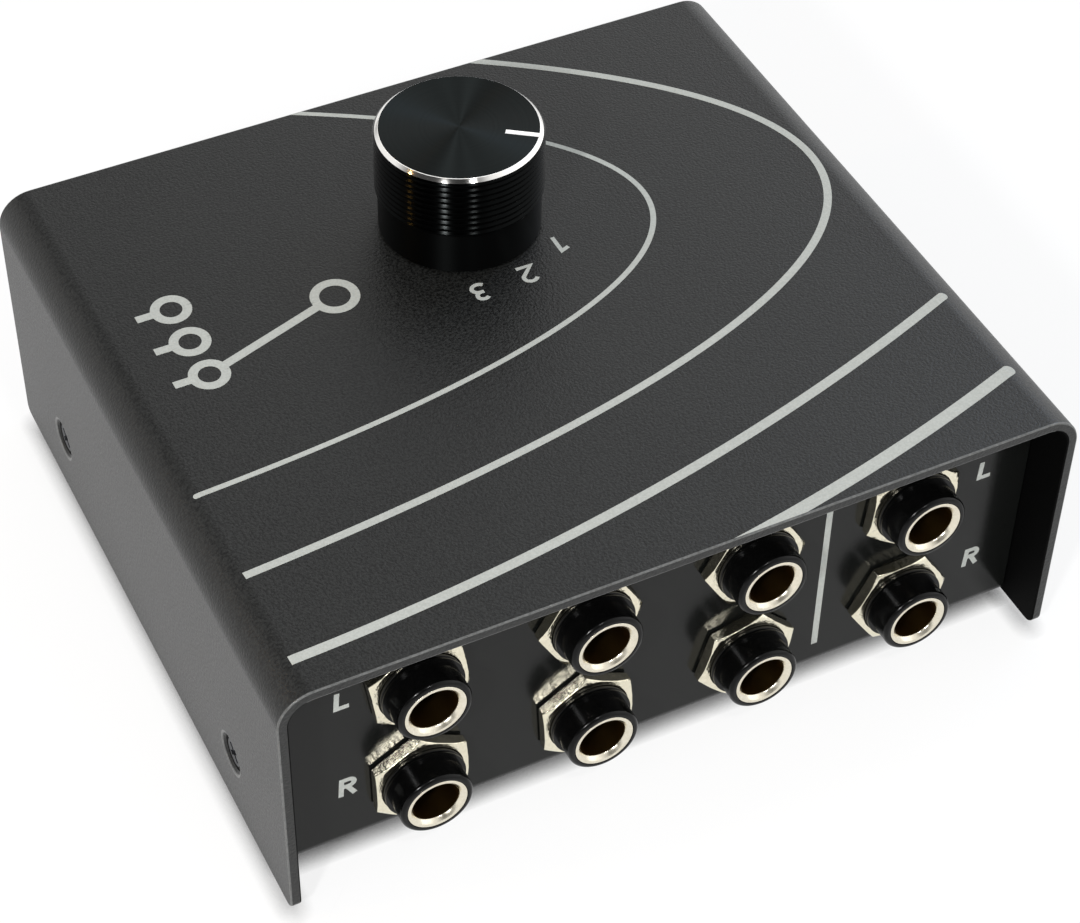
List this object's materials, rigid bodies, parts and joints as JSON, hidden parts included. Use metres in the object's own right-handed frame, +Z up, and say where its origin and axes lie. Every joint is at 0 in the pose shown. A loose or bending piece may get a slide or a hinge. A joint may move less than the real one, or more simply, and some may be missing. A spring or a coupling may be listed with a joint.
{
  "type": "audio source selector",
  "caption": "Flat metal desktop box with a rotary knob on top and rows of 6.35 mm jack sockets on a set-back rear panel, which joins one of several stereo inputs to an output.",
  "frame": {"origin": "middle of the footprint, on the surface that the feet stand on", "axes": "+Z up along the knob's axis, +Y out of the jack sockets at the rear, +X to the right of a person who faces the front and reads the dial"},
  "size_m": [0.114, 0.102, 0.0597],
  "materials": {
    "coated_steel": "dark grey powder coat, fine texture",
    "coated_chassis": "dark grey powder coat, satin",
    "black_screw": "black oxide",
    "foot_rubber": "matt",
    "jack_plastic": "gloss black",
    "nickel": "satin nickel plate",
    "spring_bronze": "rolled",
    "switch_metal": "zinc plate",
    "switch_plastic": "moulded",
    "rotor_plastic": "moulded",
    "contact_brass": "silver-plated",
    "tinned_wire": "tinned",
    "wire_red": "extruded",
    "wire_white": "extruded",
    "wire_green": "extruded",
    "wire_blue": "extruded",
    "knob_aluminium": "black anodised, bright cut rim",
    "insert_plastic": "moulded"
  },
  "bodies": {
    "case": {"cover": "coated_steel", "chassis": "coated_chassis", "cover_screws": "black_screw", "rubber_feet": "foot_rubber", "jack_nuts": "nickel", "jack_body_in3_left": "jack_plastic", "jack_body_in2_left": "jack_plastic", "jack_body_in1_left": "jack_plastic", "jack_body_out_left": "jack_plastic", "jack_body_in3_right": "jack_plastic", "jack_body_in2_right": "jack_plastic", "jack_body_in1_right": "jack_plastic", "jack_body_out_right": "jack_plastic", "jack_sleeve_in3_left": "nickel", "jack_sleeve_in2_left": "nickel", "jack_sleeve_in1_left": "nickel", "jack_sleeve_out_left": "nickel", "jack_sleeve_in3_right": "nickel", "jack_sleeve_in2_right": "nickel", "jack_sleeve_in1_right": "nickel", "jack_sleeve_out_right": "nickel", "tip_spring_in3_left": "spring_bronze", "tip_spring_in2_left": "spring_bronze", "tip_spring_in1_left": "spring_bronze", "tip_spring_out_left": "spring_bronze", "tip_spring_in3_right": "spring_bronze", "tip_spring_in2_right": "spring_bronze", "tip_spring_in1_right": "spring_bronze", "tip_spring_out_right": "spring_bronze", "signal_wire_in3_left": "wire_red", "signal_wire_in2_left": "wire_white", "signal_wire_in1_left": "wire_green", "signal_wire_out_left": "wire_blue", "signal_wire_in3_right": "wire_red", "signal_wire_in2_right": "wire_white", "signal_wire_in1_right": "wire_green", "signal_wire_out_right": "wire_blue", "switch_bushing": "switch_metal", "lock_washer": "switch_metal", "switch_nut": "nickel", "switch_housing": "switch_plastic", "contact_wafer": "switch_plastic", "throw_terminals": "contact_brass", "common_contacts": "contact_brass", "detent_ball": "switch_metal", "detent_spring": "switch_metal", "ground_bus": "tinned_wire"},
    "selector": {"switch_shaft": "switch_metal", "shaft_clip": "switch_metal", "switch_rotor": "rotor_plastic", "rotor_wipers": "contact_brass", "knob_insert": "insert_plastic", "knob_shell": "knob_aluminium"}
  },
  "joints": [
    {"name": "selector_turn", "type": "hinge", "parent": "case", "child": "selector", "pos_m": [0, -0.019, 0.043], "axis": [0, 0, 1], "range_deg": [-60, 0]}
  ]
}
